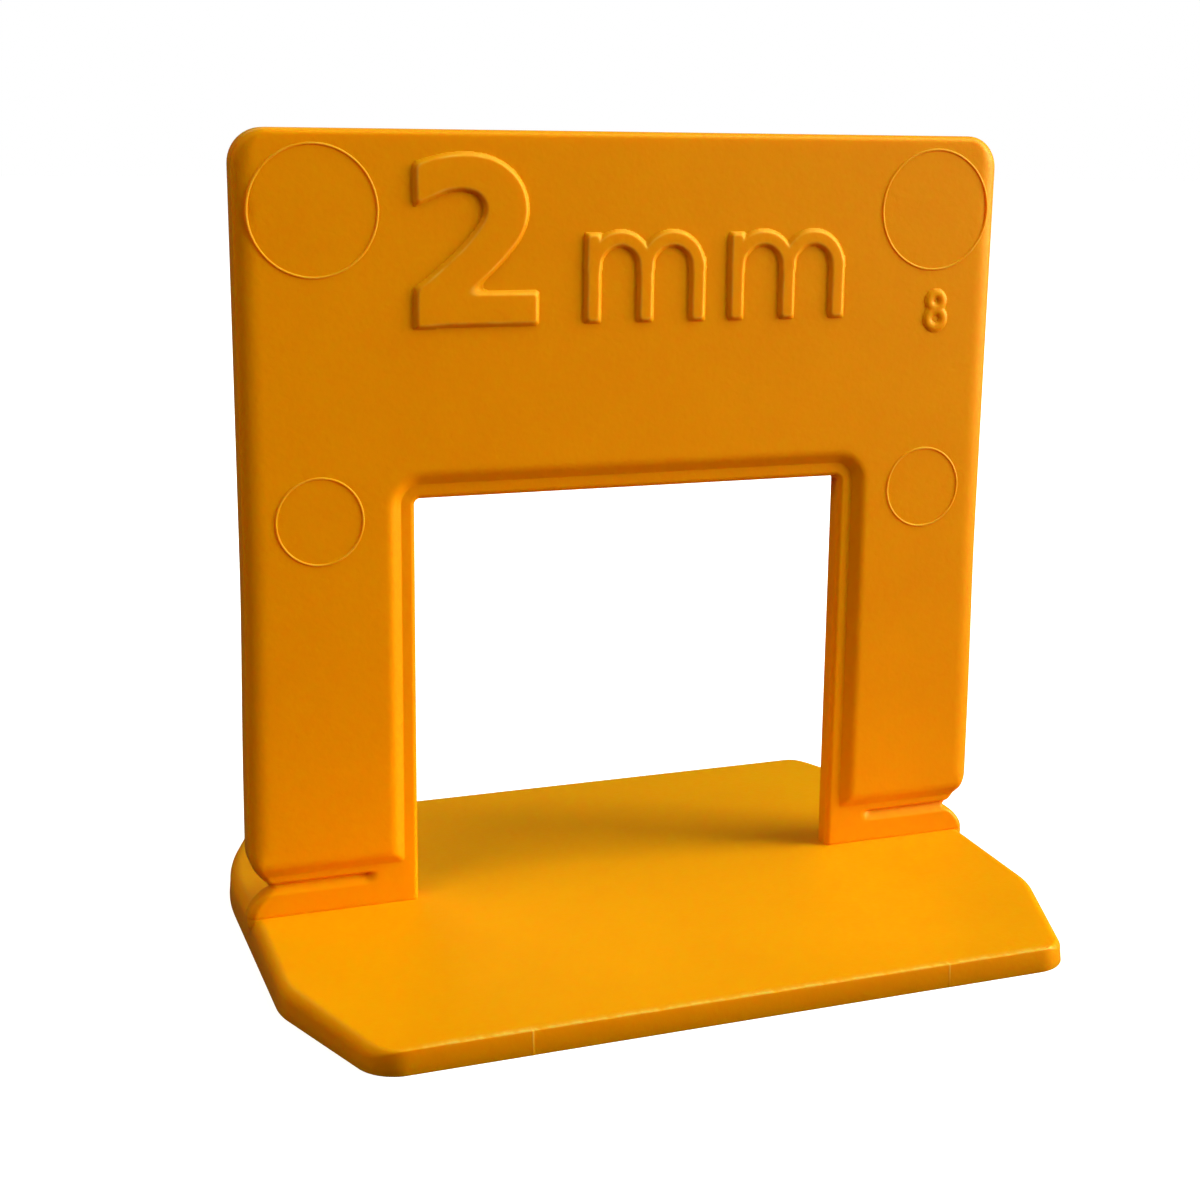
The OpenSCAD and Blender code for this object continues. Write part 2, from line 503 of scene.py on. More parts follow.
        ring = np.concatenate([plan, plan[:, -2:0:-1]], 1)
        depth = np.concatenate([-t, t[:, -2:0:-1]], 1)
        left = np.stack([ring[..., 0], depth, ring[..., 1]], -1)
        right = left[-2::-1] * np.array([-1, 1, 1])
        tube = np.concatenate([left, right])
        rows, cols = tube.shape[:2]
        ends = [np.arange(cols)[::-1], np.arange(cols) + (rows - 1) * cols]
        return Shell(tube.reshape(-1, 3), [*grid_faces(rows, cols, wrap=True), *ends])


@dataclass
class Base:
    """The plate that stays under the tiles.

    Sizes are in millimetres. The fields named columns, steps, insets and shares set how close
    the mesh is.
    """

    half_w: float = 20.57
    half_d: float = 15.6
    chamfer_x: float = 2.82
    back_chamfer_left: float = 2.82
    back_chamfer_right: float = 2.25
    chamfer_y: float = 7.7
    front_corner_r: float = 2.1
    side_corner_r: float = 4.5
    back_side_r: float = 20.0
    back_corner_r: float = 1.6
    root_t: float = 1.8
    rim_t: float = 1.2
    band: float = 1.0
    band_bend: float = 0.8
    front_edge_r: float = 0.05
    side_edge_r: float = 0.6
    foot_r: float = 0.06
    draft: float = 0.06
    setback: float = 0.01
    setback_w: float = 0.1
    setback_bend: float = 0.03
    seams: tuple = (-10.5, 11.0)
    seam_w: float = 0.045
    seam_h: float = 0.012
    flash: float = 0.03
    flash_mean: float = 0.8
    flash_swing: float = 0.24
    flash_waves: tuple = ((2.1, 0.4), (5.3, 1.7), (9.7, 0.9), (17.1, 2.2))
    flash_turn: tuple = (0.4, 0.5, 0.05)
    flash_fade: tuple = (3.6, 3.0, 0.5)
    flash_out: float = 0.6
    spine: float = 9.0
    middle_columns: int = 151
    end_columns: int = 61
    seam_columns: int = 13
    seam_reach: float = 3.0
    run_step: float = 0.3
    arc_steps: int = 25
    edge_steps: int = 9
    foot_share: float = 0.3
    wall_gap: float = 0.1
    under_insets: tuple = (0.9, 0.5)
    top_insets: tuple = (0.08, 0.2, 0.4)
    under_shares: tuple = (1.0, 0.5)
    top_shares: tuple = (0.3, 0.6, 0.83, 0.88, 0.93, 1.0)

    def top(self, y: np.ndarray) -> np.ndarray:
        """Height of the top face, level along the upright and falling evenly to front and back."""
        fall = (self.root_t - self.rim_t) / (self.half_d - self.band)
        return self.root_t - fall * soft_positive(np.abs(y) - self.band, self.band_bend)

    def corners(self) -> np.ndarray:
        """Corners of the plan, going round to the left from the right end of the front."""
        front_x, y = self.half_w - self.chamfer_x, self.half_d - self.chamfer_y
        left_x = self.half_w - self.back_chamfer_left
        right_x = self.half_w - self.back_chamfer_right
        shared = [[front_x, -self.half_d], [self.half_w, -y], [self.half_w, y]]
        right = np.array([*shared, [right_x, self.half_d]])
        left = np.array([*shared, [left_x, self.half_d]])[::-1] * np.array([-1, 1])
        return np.vstack([right, left])

    def shares(self, start: np.ndarray, end: np.ndarray, square: bool) -> np.ndarray:
        """Places of the columns along a straight side, as shares of its length.

        The front and the back have the same columns over the spine, so that they close there.

        Args:
            start: first point of the side.
            end: last point.
            square: whether it is the front or the back.

        Returns:
            Shares from 0 to 1.
        """
        if not square:
            spans = int(np.linalg.norm(end - start) / self.run_step)
            return np.linspace(0, 1, spans // 2 * 2 + 1)
        reach = np.linspace(-self.seam_reach, self.seam_reach, self.seam_columns)
        close = np.add.outer(np.array(self.seams), self.seam_w * reach).ravel()
        low_x, high_x = sorted((start[0], end[0]))
        runs = [
            np.linspace(low_x, -self.spine, self.end_columns),
            np.linspace(-self.spine, self.spine, self.middle_columns),
            np.linspace(self.spine, high_x, self.end_columns),
        ]
        columns = np.concatenate([close, *runs])
        return np.unique(np.round((columns - start[0]) / (end - start)[0], 9))

    def outline(self) -> tuple[np.ndarray, np.ndarray]:
        """Plan of the base: eight straight sides joined by arcs, going round to the left.

        Returns:
            Points and outward directions along the plan.
        """
        corners = self.corners()
        way = np.roll(corners, -1, 0) - corners
        way /= np.linalg.norm(way, axis=1)[:, None]
        normal = np.stack([way[:, 1], -way[:, 0]], 1)
        before = np.roll(normal, 1, 0)
        across = (normal * before).sum(1)
        half_turn = np.arccos(np.clip(across, -1, 1)) / 2
        side = [self.front_corner_r, self.side_corner_r, self.back_side_r, self.back_corner_r]
        radius = np.array(side + side[::-1])[:, None]
        centre = corners - (normal + before) / (1 + across)[:, None] * radius
        middle = np.arctan2(*(normal + before).T[::-1])
        angle = middle[:, None] + half_turn[:, None] * np.linspace(-1, 1, self.arc_steps)
        ray = np.stack([np.cos(angle), np.sin(angle)], -1)
        arc = centre[:, None] + radius[:, None] * ray
        points, rays = [], []
        for i, facing in enumerate(normal):
            start, end = arc[i, -1], arc[(i + 1) % len(corners), 0]
            share = self.shares(start, end, abs(facing[1]) > SQUARE)
            run = start + (end - start) * share[1:-1, None]
            points += [arc[i], run]
            rays += [ray[i], np.tile(facing, (len(run), 1))]
        return np.vstack(points), np.vstack(rays)

    def seam(self, x: np.ndarray) -> np.ndarray:
        """Fine upright ridges where inserts of the mould met: bell curves along x, 1 at most."""
        return sum(bell(x - middle, self.seam_w) for middle in self.seams)

    def flash_height(self, x: np.ndarray, y: np.ndarray, facing: np.ndarray) -> np.ndarray:
        """Fine ragged burr on the front edge, where the mould halves met: a sum of sines along x.

        Args:
            x: places along the edge.
            y: places across the base.
            facing: how far the edge looks to the back.

        Returns:
            Height of the burr.
        """
        rag = sum(np.sin(pitch * x + phase) for pitch, phase in self.flash_waves)
        front = past(-facing, *self.flash_turn) * (y < 0) * past(x + self.half_w, *self.flash_fade)
        return self.flash * (self.flash_mean + self.flash_swing * rag) * front

    def recess(self, x: np.ndarray, facing: np.ndarray) -> np.ndarray:
        """How far the front wall lies back: a step between the two seams, less their ridges.

        Args:
            x: places along the plan.
            facing: how far the wall looks to the back.

        Returns:
            Distances in from the plan.
        """
        low, high = (past(x, seam, self.setback_w, self.setback_bend) for seam in self.seams)
        return (self.setback * (low - high) - self.seam_h * self.seam(x)) * (facing < -SQUARE)

    def build(self) -> Shell:
        """Carries the profile of the rim round the plan and closes both faces along a spine.

        The profile runs from the underside up the drafted wall and over the quarter-round edge
        to the top. The burr is a bump on that edge.

        Returns:
            The closed shell.
        """
        plan, ray = self.outline()
        turn = np.linspace(0, math.pi / 2, self.edge_steps)[:, None]
        edge = self.front_edge_r + (self.side_edge_r - self.front_edge_r) * (1 - ray[:, 1] ** 4)
        recess = self.recess(plan[:, 0], ray[:, 1])
        foot = self.foot_share * self.foot_r
        low = np.array([*self.under_insets, self.foot_r, foot, 0.0, self.draft])[:, None] + recess
        rim = self.draft + edge * (1 - np.cos(turn)) + recess
        high = rim[-1:] + np.array(self.top_insets)[:, None]
        inset = np.vstack([low, rim, high])
        ring = plan[None] - ray[None] * inset[..., None]

        wall = len(low) - 1
        rounded = slice(len(low), len(low) + len(turn))
        z = np.zeros(ring.shape[:2])
        z[wall - 2], z[wall - 1] = foot, self.foot_r
        z[wall:] = self.top(ring[wall:, :, 1])
        z[wall] -= edge + self.wall_gap
        z[rounded] -= edge * (1 - np.sin(turn))
        crest = np.sin(np.clip(2 * turn - math.pi / 4, 0, math.pi)) ** 2
        burr = crest * self.flash_height(plan[:, 0], plan[:, 1], ray[:, 1])
        z[rounded] += burr
        ring[rounded] += ray * (self.flash_out * burr)[..., None]

        spine_x = np.clip(plan[:, 0], -self.spine, self.spine)
        spine = np.stack([spine_x, np.zeros(len(plan))], 1)
        over = ring[-1] + (spine - ring[-1]) * np.array(self.top_shares)[:, None, None]
        under = ring[0] + (spine - ring[0]) * np.array(self.under_shares)[:, None, None]
        plan_all = np.concatenate([under, ring, over])
        z_all = np.concatenate([np.zeros(under.shape[:2]), z, self.top(over[..., 1])])
        points = np.concatenate([plan_all, z_all[..., None]], -1)
        rows, cols = points.shape[:2]
        return Shell(points.reshape(-1, 3), list(grid_faces(rows, cols, wrap=True)))


@dataclass
class RaisedMark:
    """Raised plain lettering of the joint width on the front face. Sizes in millimetres."""

    rise: float = 0.16
    sink: float = 0.07
    wall: float = 0.13
    brow: float = 0.07
    foot: float = 0.05
    step: float = 0.05
    face_y: float = -1.0
    root: float = 0.4
    corner_r: float = 0.22
    two_block: Box = (-12.4, 31.0, -5.0, 40.3)
    two_box: Box = (-11.72, 31.6, -5.65, 33.08)
    two_path: tuple = (
        (-12.2, 38.2, 0.82), (-11.4, 38.56, 0.82), (-10.4, 38.9, 0.78), (-9.38, 39.0, 0.79),
        (-8.43, 38.85, 0.85), (-7.72, 38.42, 0.94), (-7.3, 37.82, 1.0), (-7.18, 37.15, 1.02),
        (-7.35, 36.45, 0.98), (-7.85, 35.7, 0.92), (-8.7, 34.78, 0.87), (-9.75, 33.86, 0.84),
        (-10.9, 32.9, 0.84), (-11.9, 32.1, 0.84))
    two_steps: int = 8
    two_join: float = 0.7
    two_cut: float = 0.25
    m_block: Box = (-3.6, 31.1, 11.9, 36.6)
    m_stems: tuple = ((-2.65, 0.19, 3.05), (5.22, 8.12, 11.0))
    m_half: float = 0.31
    m_low: float = 31.67
    m_high: float = 35.92
    m_arch_z: float = 34.25
    m_arch_rise: float = 1.51
    m_overlap: float = 0.4
    m_join: float = 0.1
    m_steps: int = 25
    m_share: float = 0.9
    small_block: Box = (16.2, 30.5, 17.85, 33.1)
    small_x: float = 17.02
    small_loops: tuple = ((32.31, 0.40, 0.40), (31.36, 0.48, 0.46))
    small_half: float = 0.1
    small_join: float = 0.1
    small_steps: int = 41
    small_rise: float = 0.065
    small_wall: float = 0.14

    def two(self, x: np.ndarray, z: np.ndarray) -> np.ndarray:
        """Signed depth inside the figure 2: a curved stroke and a bar, cut straight on the left."""
        stroke = stroke_depth(x, z, smooth_path(np.array(self.two_path), self.two_steps))
        bar = box_depth(x, z, self.two_box, self.corner_r)
        low_x, low_z = self.two_box[:2]
        both = soft_max(stroke, bar, self.two_join)
        return soft_min(both, np.minimum(x - low_x, z - low_z), self.two_cut)

    def letters(self, x: np.ndarray, z: np.ndarray) -> np.ndarray:
        """Signed depth inside the unit mm: three stems and two arches in each letter."""
        turn = np.linspace(math.pi, 0, self.m_steps)
        half_w = np.full(len(turn), self.m_half)
        depth = np.full(x.shape, -FAR)
        for stems in self.m_stems:
            for i, stem in enumerate(stems):
                high = self.m_high if i == 0 else self.m_arch_z + self.m_overlap
                box = (stem - self.m_half, self.m_low, stem + self.m_half, high)
                depth = soft_max(depth, box_depth(x, z, box, self.corner_r), self.m_join)
            for left, right in zip(stems[:-1], stems[1:]):
                half = (right - left) / 2
                arch_x = left + half + half * np.cos(turn)
                arch_z = self.m_arch_z + self.m_arch_rise * np.sin(turn)
                arch = stroke_depth(x, z, np.stack([arch_x, arch_z, half_w], 1))
                depth = soft_max(depth, arch, self.m_join)
        return depth

    def small(self, x: np.ndarray, z: np.ndarray) -> np.ndarray:
        """Signed depth inside the small figure 8: two rings, one on the other."""
        turn = np.linspace(0, 2 * math.pi, self.small_steps)
        half_w = np.full(len(turn), self.small_half)
        upper, lower = (
            np.stack([self.small_x + wide * np.cos(turn), mid + tall * np.sin(turn), half_w], 1)
            for mid, wide, tall in self.small_loops)
        return soft_max(stroke_depth(x, z, upper), stroke_depth(x, z, lower), self.small_join)

    def block(self, depth: Depth, box: Box, rise: float, wall: float) -> Shell:
        """Closed block whose front is the relief: a sloping wall with a rounded brow on top.

        Args:
            depth: function of x and z that gives the signed depth inside the figure.
            box: low x, low z, high x and high z of the block.
            rise: height of the figure above the face.
            wall: width of the sloping wall.

        Returns:
            The closed shell, sunk a little into the face.
        """
        low_x, low_z, high_x, high_z = box
        cols = int(round((high_x - low_x) / self.step)) + 1
        rows = int(round((high_z - low_z) / self.step)) + 1
        x, z = np.meshgrid(np.linspace(low_x, high_x, cols), np.linspace(low_z, high_z, rows))
        inside = depth(x, z) + wall
        height = rise * ramp(inside, wall, self.foot, self.brow)
        height = np.where(inside < -self.foot, -self.sink, height)
        front = np.stack([x, self.face_y - height, z], -1).reshape(-1, 3)
        back = np.stack([x, np.full_like(x, self.face_y + self.root), z], -1).reshape(-1, 3)
        quads = grid_faces(rows, cols)
        number = np.arange(rows * cols).reshape(rows, cols)
        rim = np.concatenate(
            [number[0, :-1], number[:-1, -1], number[-1, :0:-1], number[:0:-1, 0]])
        ahead = np.roll(rim, -1)
        sides = np.stack([rim, ahead, ahead + rows * cols, rim + rows * cols], 1)
        faces = np.vstack([quads, quads[:, ::-1] + rows * cols, sides])
        return Shell(np.vstack([front, back]), list(faces))

    def build(self) -> dict[str, Shell]:
        """All the raised figures by name."""
        m_rise, m_wall = self.rise * self.m_share, self.wall * self.m_share
        return {
            "figure": self.block(self.two, self.two_block, self.rise, self.wall),
            "unit": self.block(self.letters, self.m_block, m_rise, m_wall),
            "cavity": self.block(self.small, self.small_block, self.small_rise, self.small_wall),
        }


@dataclass
class PinRings:
    """Fine raised rings that the ejector pins left on the front face. Sizes in millimetres."""

    big_centre: tuple = (16.76, 37.14)
    big_r: float = 3.14
    small_centre: tuple = (16.70, 22.16)
    small_r: float = 2.16
    bead: float = 0.08
    proud: float = 0.015
    face_y: float = -1.0
    round_steps: int = 128
    bead_steps: int = 10

    def ring(self, x: float, z: float, radius: float) -> Shell:
        """Torus: a circle of the bead's radius carried round a circle in the face.

        Args:
            x: middle of the ring along the upright.
            z: height of its middle.
            radius: radius of the ring.

        Returns:
            The closed shell.
        """
        around = np.linspace(0, 2 * math.pi, self.round_steps, endpoint=False)
        across = np.linspace(0, 2 * math.pi, self.bead_steps, endpoint=False)
        a, b = np.meshgrid(around, across, indexing="ij")
        reach = radius + self.bead * np.cos(b)
        y = self.face_y + self.bead - self.proud + self.bead * np.sin(b)
        points = np.stack([x + reach * np.cos(a), y, z + reach * np.sin(a)], -1)
        closed = np.concatenate([points, points[:1]])
        faces = grid_faces(len(closed), closed.shape[1], wrap=True)
        return Shell(closed.reshape(-1, 3), list(faces))

    def build(self) -> dict[str, Shell]:
        """The four rings by name."""
        spots = {"big": (*self.big_centre, self.big_r), "small": (*self.small_centre, self.small_r)}
        return {
            f"{size}_{side.value}": self.ring(side.value * x, z, r)
            for size, (x, z, r) in spots.items()
            for side in Side
        }


# Finishes


def linear(code: str) -> tuple[float, float, float, float]:
    """Turns an sRGB hex colour into linear values.

    Args:
        code: six hex digits after a hash sign.

    Returns:
        Linear red, green, blue and an alpha of 1.
    """
    parts = [int(code[i:i + 2], 16) / 255 for i in (1, 3, 5)]
    return (*[c / 12.92 if c <= 0.04045 else ((c + 0.055) / 1.055) ** 2.4 for c in parts], 1.0)


def add(
    tree: bpy.types.NodeTree,
    kind: str,
    settings: dict | None = None,
    links: dict | None = None,
) -> bpy.types.Node:
    """Adds a node, sets its properties and inputs and links what feeds it.

    Args:
        tree: the material's nodes.
        kind: type of the node.
        settings: values by property name, or by the name or number of an input.
        links: output sockets by the name or number of an input.

    Returns:
        The new node.
    """
    node = tree.nodes.new(kind)
    for name, value in (settings or {}).items():
        if isinstance(name, int) or name in node.inputs:
            node.inputs[name].default_value = value
        else:
            setattr(node, name, value)
    for name, socket in (links or {}).items():
        tree.links.new(socket, node.inputs[name])
    return node


def new_tree(owner: bpy.types.Material | bpy.types.World) -> bpy.types.NodeTree:
    """Gives a material or a world an empty set of nodes, and returns it."""
    owner.use_nodes = True
    owner.node_tree.nodes.clear()
    return owner.node_tree


@dataclass(frozen=True)
class PaintedHighlights:
    """How strongly painted highlights pale raised lines, from 0 to 1, and where. Sizes in
    millimetres.

    A field of three numbers is a ramp: where it starts, its width and the bend at its ends.
    """

    ring: float = 0.8
    brow: float = 0.6
    burr: float = 0.8
    seam: float = 0.8
    ring_reach: float = 0.09
    ring_rise: tuple = (0.003, 0.02, 0.002)
    front_y: tuple = (-0.35, 0.1, 0.03)
    front_top: float = 1.6
    burr_z: float = 0.01
    burr_w: float = 0.035
    seam_z: tuple = (0.1, 0.2, 0.05)
    brow_rise: tuple = (0.1, 0.04, 0.01)
    brow_low: float = 30.0
    brow_in: float = 0.01
    brow_w: float = 0.06
    patch_mean: float = 0.6
    patch_swing: float = 0.4
    patch_waves: tuple = ((3.1, 1.3), (-0.9, 1.7))

    def patches(self, x: np.ndarray, z: np.ndarray) -> np.ndarray:
        """Unevenness of the painted highlights over x and z: a product of two slanting sine waves.
        """
        waves = np.prod([np.sin(a * x + b * z) for a, b in self.patch_waves], 0)
        return self.patch_mean + self.patch_swing * waves


@dataclass(frozen=True)
class OrangePolypropylene:
    """Orange polypropylene, injection moulded in a spark-eroded tool.

    The tool leaves a fine even grain that makes a satin sheen. The pigment is dense, and thin
    places let a little light through, as deep as glow_mm in red, green and blue.
    """

    colour: str = "#F4A200"
    deep: str = "#EC9500"
    # Paler colour painted on raised lines as a painted highlight
    highlight_colour: str = "#FFCC50"
    roughness: float = 0.42
    sheen_low: float = -0.05
    sheen_high: float = 0.07
    ior: float = 1.49
    gloss: float = 0.42
    gloss_tint: str = "#FFD018"
    glow: float = 0.7
    glow_mm: tuple = (0.55, 0.18, 0.04)
    cloud_mm: float = 6.0
    cloud_detail: float = 7.0
    cloud_roughness: float = 0.62
    grain_mm: float = 0.3
    grain_deep_mm: float = 0.035
    grain_strength: float = 0.4
    grain_detail: float = 3.0
    grain_roughness: float = 0.6
    grain_twist: float = 0.3
    ripple_mm: float = 2.6
    ripple_deep_mm: float = 0.06
    ripple_strength: float = 0.12
    ripple_detail: float = 1.0

    def build(self, name: str) -> bpy.types.Material:
        """Makes the material of that name."""
        material = bpy.data.materials.new(name)
        tree = new_tree(material)
        place = add(tree, "ShaderNodeTexCoord").outputs["Object"]
        colour = self.pigment(tree, place)
        # Eroded grain of the tool, drawn coarser than the real one so that it shows
        grain = add(
            tree, "ShaderNodeTexNoise",
            {"Scale": 1 / (self.grain_mm * MM), "Detail": self.grain_detail,
                "Roughness": self.grain_roughness, "Distortion": self.grain_twist},
            {"Vector": place})
        # Slow ripple left by the shrinking of the plastic
        ripple = add(
            tree, "ShaderNodeTexNoise",
            {"Scale": 1 / (self.ripple_mm * MM), "Detail": self.ripple_detail},
            {"Vector": place})
        fine = add(
            tree, "ShaderNodeBump",
            {"Strength": self.grain_strength, "Distance": self.grain_deep_mm * MM},
            {"Height": grain.outputs["Fac"]})
        skin = add(
            tree, "ShaderNodeBump",
            {"Strength": self.ripple_strength, "Distance": self.ripple_deep_mm * MM},
            {"Height": ripple.outputs["Fac"], "Normal": fine.outputs["Normal"]})
        sheen = add(
            tree, "ShaderNodeMapRange",
            {"To Min": self.roughness + self.sheen_low, "To Max": self.roughness + self.sheen_high},
            {"Value": grain.outputs["Fac"]})
        plastic = add(
            tree, "ShaderNodeBsdfPrincipled",
            {"IOR": self.ior, "Specular IOR Level": self.gloss,
                "Specular Tint": linear(self.gloss_tint), "Subsurface Weight": self.glow,
                "Subsurface Scale": MM, "Subsurface Radius": self.glow_mm},
            {"Base Color": colour, "Roughness": sheen.outputs["Result"],
                "Normal": skin.outputs["Normal"]})
        add(tree, "ShaderNodeOutputMaterial", {}, {"Surface": plastic.outputs["BSDF"]})
        return material

    def pigment(
        self, tree: bpy.types.NodeTree, place: bpy.types.NodeSocket
    ) -> bpy.types.NodeSocket:
        """Adds the colour: pigment clouds from the flow of the melt, paler where highlights are
        painted.

        Args:
            tree: the material's nodes.
            place: the coordinates of the pattern.

        Returns:
            The colour's socket.
        """
        cloud = add(
            tree, "ShaderNodeTexNoise",
            {"Scale": 1 / (self.cloud_mm * MM), "Detail": self.cloud_detail,
                "Roughness": self.cloud_roughness},
            {"Vector": place})
        colour = add(
            tree, "ShaderNodeMix",
            {"data_type": "RGBA", MIX_A: linear(self.colour), MIX_B: linear(self.deep)},
            {"Factor": cloud.outputs["Fac"]})
        # Raised lines and edges get a paler colour as a painted highlight
        highlight_mask = add(tree, "ShaderNodeAttribute", {"attribute_name": "painted_highlight"})
        pale = add(
            tree, "ShaderNodeMix",
            {"data_type": "RGBA", MIX_B: linear(self.highlight_colour)},
            {"Factor": highlight_mask.outputs["Fac"], MIX_A: colour.outputs[MIX_COLOUR]})
        return pale.outputs[MIX_COLOUR]


@dataclass(frozen=True)
class PaleFloor:
    """Plain white studio board, matt and lit from behind so that it turns white all round."""

    colour: str = "#F4F4F2"
    roughness: float = 0.8
    light: str = "#FFFFFF"
    near_glow: float = 0.8
    far_glow: float = 1.05
    near_mm: float = 40.0
    far_mm: float = 160.0

    def build(self, name: str) -> bpy.types.Material:
        """Makes the material of that name."""
        material = bpy.data.materials.new(name)
        tree = new_tree(material)
        # Light from behind the board evens it out to white away from the middle
        place = add(tree, "ShaderNodeTexCoord").outputs["Object"]
        away = add(tree, "ShaderNodeVectorMath", {"operation": "LENGTH"}, {"Vector": place})
        glow = add(
            tree, "ShaderNodeMapRange",
            {"From Min": self.near_mm * MM, "From Max": self.far_mm * MM,
                "To Min": self.near_glow, "To Max": self.far_glow},
            {"Value": away.outputs["Value"]})
        board = add(
            tree, "ShaderNodeBsdfPrincipled",
            {"Base Color": linear(self.colour), "Roughness": self.roughness,
                "Emission Color": linear(self.light)},
            {"Emission Strength": glow.outputs["Result"]})
        add(tree, "ShaderNodeOutputMaterial", {}, {"Surface": board.outputs["BSDF"]})
        return material


# Assembly


@dataclass
class Clip:
    """The whole moulding, from its sub-shapes to one dressed skin."""

    upright: Upright = field(default_factory=Upright)
    base: Base = field(default_factory=Base)
    mark: RaisedMark = field(default_factory=RaisedMark)
    rings: PinRings = field(default_factory=PinRings)
    finish: OrangePolypropylene = field(default_factory=OrangePolypropylene)
    highlights: PaintedHighlights = field(default_factory=PaintedHighlights)
    crease: float = math.radians(38)

    def painted_highlight(self, x: np.ndarray, y: np.ndarray, z: np.ndarray) -> np.ndarray:
        """How strongly each place gets painted highlight: pin rings, brows of the figures, burr and
        seams.

        Args:
            x: places along the upright.
            y: places across it.
            z: heights.

        Returns:
            Painted highlight from 0 to 1.
        """
        highlights, pins = self.highlights, self.rings
        rings = [(pins.big_centre, pins.big_r), (pins.small_centre, pins.small_r)]
        off_ring = np.min(
            [np.abs(np.hypot(np.abs(x) - c[0], z - c[1]) - r) for c, r in rings], 0)
        proud = -y - self.upright.half_t
        on_ring = (off_ring < highlights.ring_reach) * past(proud, *highlights.ring_rise)

        raised = past(proud, *highlights.brow_rise) * (z > highlights.brow_low)
        spots = np.flatnonzero(raised > 0)
        figures = (self.mark.two, self.mark.letters)
        depth = np.max([figure(x[spots], z[spots]) for figure in figures], 0)
        on_brow = np.zeros_like(x)
        on_brow[spots] = raised[spots] * bell(depth - highlights.brow_in, highlights.brow_w)

        front = past(-y - self.base.half_d, *highlights.front_y) * (z < highlights.front_top)
        burr = self.base.flash_height(x, y, -np.ones_like(x)) / self.base.flash
        on_burr = front * burr * bell(z - self.base.rim_t - highlights.burr_z, highlights.burr_w)
        on_seam = front * self.base.seam(x) * past(z, *highlights.seam_z)
        on_face = highlights.patches(x, z) * (highlights.ring * on_ring + highlights.brow * on_brow)
        return np.clip(on_face + highlights.burr * on_burr + highlights.seam * on_seam, 0, 1)

    def build(self) -> None:
        """Builds the moulding as one skin and sets it in place of the solid."""
        body = make_object("clip_moulding", self.upright.build())
        shells = {"base": self.base.build(), **self.mark.build(), **self.rings.build()}
        parts = [make_object(name, shell) for name, shell in shells.items()]
        for part in [body, *parts]:
            log.info("%s: %d faces", part.name, len(part.data.polygons))
        unite(body, parts)
        mesh = body.data
        mesh.shade_smooth()
        mesh.set_sharp_from_angle(angle=self.crease)
        place = np.empty(len(mesh.vertices) * 3, np.float32)
        mesh.vertices.foreach_get("co", place)
        # Painted highlight: a paler colour on pin rings, figure brows, burr and seams, stored per
        # point
        highlight_share = self.painted_highlight(*(place.reshape(-1, 3).astype(float) / MM).T)
        painted_highlight = mesh.attributes.new("painted_highlight", "FLOAT", "POINT")
        painted_highlight.data.foreach_set("value", highlight_share.astype(np.float32))
        even = body.modifiers.new("even_faces", "WEIGHTED_NORMAL")
        even.keep_sharp = True
        mesh.materials.clear()
        mesh.materials.append(self.finish.build("orange_polypropylene"))
        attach(body, BODY)
        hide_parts(NODE)
        log.info("%s: %d faces in one skin", body.name, len(mesh.polygons))


@dataclass(frozen=True)
class Lamp:
    """A soft square light, placed by degrees from the front to the right and above the floor."""

    name: str
    azimuth: float
    elevation: float
    watts: float
    colour: str


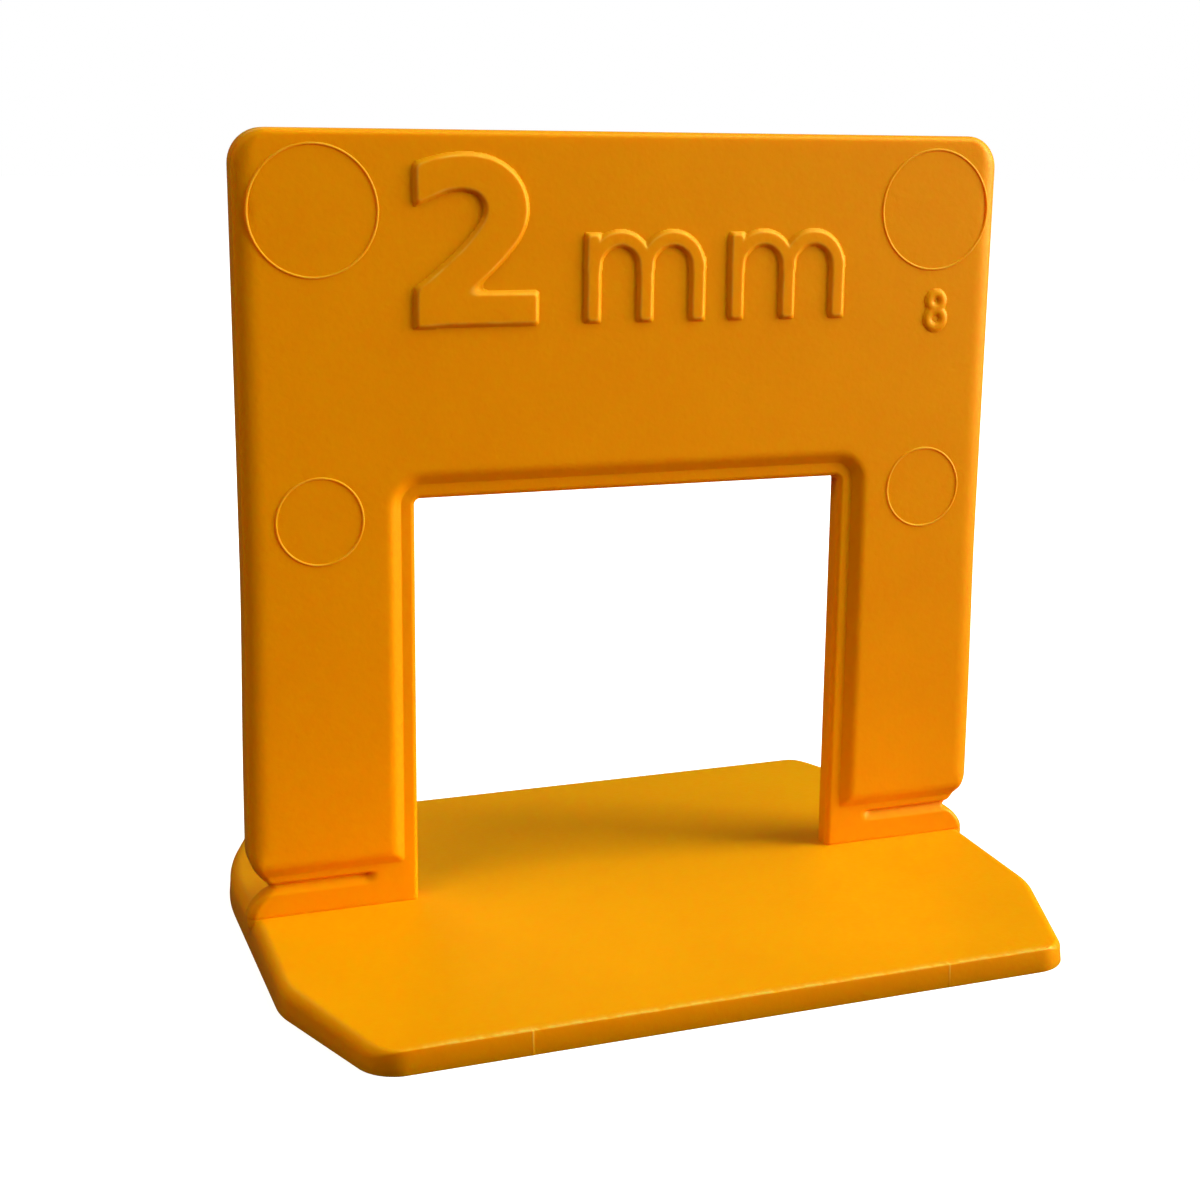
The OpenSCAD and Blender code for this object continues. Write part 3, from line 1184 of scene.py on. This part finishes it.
@dataclass
class Studio:
    """Floor, lights and camera. Sizes in millimetres, roll in radians."""

    camera_at: tuple = (-35.3695, -90.2309, 40.3835)
    forward: tuple = (0.34296, 0.91714, -0.20307)
    roll: float = 0.0112
    lens: float = 56.55
    sensor: float = 36.0
    shift: tuple = (-0.0019, -0.0542)
    near_clip: float = 1.0
    floor_size: float = 4000.0
    sky: str = "#FFFFFF"
    sky_strength: float = 0.02
    backdrop_strength: float = 1.0
    aim: tuple = (0.0, 0.0, 15.0)
    distance: float = 600.0
    lamp_size: float = 260.0
    lamps: tuple[Lamp, ...] = (
        Lamp("key", 70, 12, 4.75, "#FFE0CC"),
        Lamp("key_middle", 70, 35, 1.5, "#DAFFFF"),
        Lamp("key_high", 70, 60, 1.6, "#C4FFFF"),
        Lamp("front", 45, 35, 0.34, "#FFFFFF"),
        Lamp("rim", 190, 52, 0.5, "#FFF2D8"),
        Lamp("fill", -58, 45, 1.0, "#FFF0D0"),
        Lamp("bounce", -85, 20, 0.55, "#FFC894"),
    )

    def build(self) -> None:
        """Sets up the floor, the surround, the lights and the camera."""
        bpy.context.scene.view_settings.view_transform = "Standard"
        self.floor()
        self.surround()
        for lamp in self.lamps:
            self.light(lamp)
        self.camera()

    def floor(self) -> None:
        """Adds the board that the clip stands on, which sends no light back to it."""
        half = self.floor_size / 2
        corners = [[-half, -half, 0], [half, -half, 0], [half, half, 0], [-half, half, 0]]
        floor = make_object("floor", Shell(np.array(corners, float), [np.arange(4)]))
        floor.data.materials.append(PaleFloor().build("white_board"))
        floor.visible_diffuse = False
        floor.visible_glossy = False

    def surround(self) -> None:
        """Dim even room light, with a white backdrop where the camera looks past the floor."""
        world = bpy.data.worlds.new("studio")
        tree = new_tree(world)
        sky = linear(self.sky)
        room = add(tree, "ShaderNodeBackground", {"Color": sky, "Strength": self.sky_strength})
        backdrop = add(
            tree, "ShaderNodeBackground", {"Color": sky, "Strength": self.backdrop_strength})
        seen = add(tree, "ShaderNodeLightPath").outputs["Is Camera Ray"]
        both = add(
            tree, "ShaderNodeMixShader", {},
            {0: seen, 1: room.outputs["Background"], 2: backdrop.outputs["Background"]})
        add(tree, "ShaderNodeOutputWorld", {}, {"Surface": both.outputs["Shader"]})
        bpy.context.scene.world = world

    def light(self, lamp: Lamp) -> None:
        """Adds a lamp, which looks at the middle of the clip."""
        data = bpy.data.lights.new(lamp.name, "AREA")
        data.color = linear(lamp.colour)[:3]
        data.size = self.lamp_size * MM
        data.energy = lamp.watts
        azimuth, elevation = math.radians(lamp.azimuth), math.radians(lamp.elevation)
        flat = math.cos(elevation)
        way = Vector((math.sin(azimuth) * flat, -math.cos(azimuth) * flat, math.sin(elevation)))
        obj = bpy.data.objects.new(lamp.name, data)
        obj.location = (Vector(self.aim) + way * self.distance) * MM
        obj.rotation_euler = (-way).to_track_quat("-Z", "Y").to_euler()
        bpy.context.scene.collection.objects.link(obj)

    def camera(self) -> None:
        """Adds the camera, turned by its view direction and a slight roll."""
        lens = bpy.data.cameras.new("camera")
        lens.sensor_width = self.sensor
        lens.lens = self.lens
        lens.shift_x, lens.shift_y = self.shift
        lens.clip_start = self.near_clip * MM
        ahead = Vector(self.forward).normalized()
        right = ahead.cross(Vector((0, 0, 1))).normalized()
        up = right.cross(ahead)
        axes = Matrix((right, up, -ahead)).transposed()
        turned = axes @ Matrix.Rotation(self.roll, 3, "Z")
        obj = bpy.data.objects.new("camera", lens)
        obj.matrix_world = Matrix.Translation(Vector(self.camera_at) * MM) @ turned.to_4x4()
        bpy.context.scene.collection.objects.link(obj)
        bpy.context.scene.camera = obj


def main() -> None:
    """Builds the studio and the clip."""
    logging.basicConfig(level=logging.INFO)
    Studio().build()
    Clip().build()


if __name__ == "__main__":
    main()
